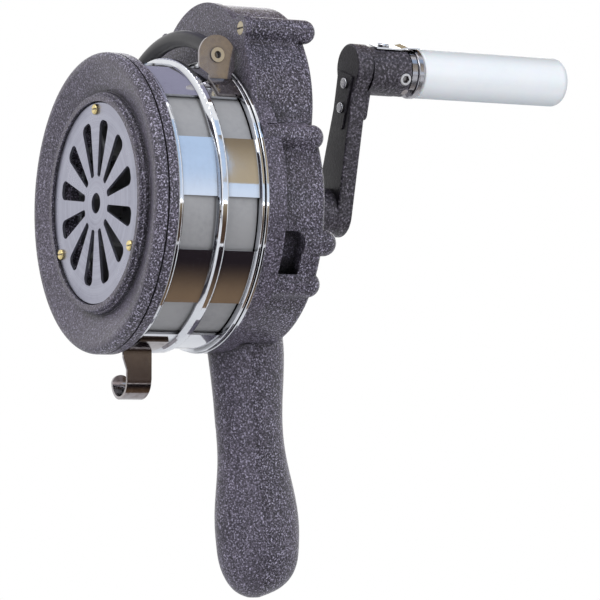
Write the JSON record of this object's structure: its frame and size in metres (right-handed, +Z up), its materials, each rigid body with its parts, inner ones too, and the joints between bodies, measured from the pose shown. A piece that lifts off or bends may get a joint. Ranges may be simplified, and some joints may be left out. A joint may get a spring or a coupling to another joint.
{
  "type": "hand crank siren",
  "caption": "Hand-held siren: slotted drum with a dished front, gear case with a grip below, and a rear crank whose handle folds.",
  "frame": {"origin": "middle of the hand grip below the gear case, the place where the siren is held", "axes": "+Z up along the hand grip, -Y the way the intake faces, +Y towards the crank, +X to the side the crank leans"},
  "size_m": [0.1539, 0.2391, 0.2773],
  "materials": {
    "housing_enamel": "dark grey hammertone enamel on cast aluminium",
    "chrome": "polished chrome plate on pressed steel",
    "satin_steel": "fine brushed plate",
    "brass": "plain brass",
    "bright_steel": "zinc plated",
    "gear_steel": "machined, lightly oiled",
    "rotor_alloy": "as cast, lightly turned rim",
    "arm_enamel": "near black enamel on steel",
    "bearing_steel": "ground and polished",
    "bronze": "sintered bronze",
    "gasket": "pale pressed fibre",
    "cord": "smooth black covering",
    "white_plastic": "smooth, slightly waxy"
  },
  "bodies": {
    "housing": {"front_ring": "housing_enamel", "grille_plate": "satin_steel", "grille_screws": "brass", "stator_drum": "chrome", "drum_screws": "bright_steel", "strap_hook_top": "chrome", "strap_hook_bottom": "chrome", "hook_rivets": "chrome", "carry_cord": "cord", "cord_lug": "chrome", "cord_rivets": "chrome", "front_case": "housing_enamel", "case_gasket": "gasket", "rear_cover": "housing_enamel", "case_screws": "bright_steel", "grip_screws": "bright_steel", "bearing_outer_rings": "bearing_steel", "bearing_balls": "bearing_steel", "bearing_spacer": "gear_steel", "bearing_retainer": "bright_steel", "retainer_screws": "bright_steel", "idler_pin": "bearing_steel", "idler_washers": "bronze", "crank_bush": "bronze"},
    "crank": {"crank_gear": "gear_steel", "gear_pin": "bearing_steel", "crank_shaft": "gear_steel", "thrust_washer": "bright_steel", "crank_screw": "bright_steel", "crank_arm": "arm_enamel", "arm_rivets": "bright_steel", "grip_knuckle": "arm_enamel", "fold_pin": "bright_steel", "cross_screw": "bright_steel", "detent_spring": "chrome", "spring_rivet": "chrome"},
    "rotor_set": {"rotor": "rotor_alloy", "rotor_key": "gear_steel", "rotor_shaft": "gear_steel", "rotor_nut": "bright_steel", "rotor_washer": "bright_steel", "rotor_pinion": "gear_steel", "bearing_inner_rings": "bearing_steel"},
    "idler": {"idler_gear": "gear_steel", "idler_pinion": "gear_steel"},
    "grip_frame": {"grip_bracket": "chrome", "grip_spindle": "gear_steel", "spindle_clip": "gear_steel"},
    "crank_grip": {"grip_sleeve": "white_plastic"}
  },
  "joints": [
    {"name": "crank_turn", "type": "hinge", "parent": "housing", "child": "crank", "pos_m": [0, -0.0815, 0.125], "axis": [0, 1, 0], "continuous": true},
    {"name": "rotor_spin", "type": "hinge", "parent": "housing", "child": "rotor_set", "pos_m": [0, -0.0815, 0.125], "axis": [0, 1, 0], "continuous": true},
    {"name": "idler_spin", "type": "hinge", "parent": "housing", "child": "idler", "pos_m": [0, -0.0815, 0.17], "axis": [0, 1, 0], "continuous": true},
    {"name": "grip_fold", "type": "hinge", "parent": "crank", "child": "grip_frame", "pos_m": [0.0191, 0.0671, 0.18377], "axis": [-0.9511, 0, 0.309], "range_deg": [0, 90]},
    {"name": "grip_spin", "type": "hinge", "parent": "grip_frame", "child": "crank_grip", "pos_m": [0.02145, 0.1185, 0.191], "axis": [0, 1, 0], "continuous": true}
  ],
  "couplings": [
    {"joint": "idler_spin", "follows": "crank_turn", "ratio": -6.5},
    {"joint": "rotor_spin", "follows": "crank_turn", "ratio": 42.25}
  ]
}
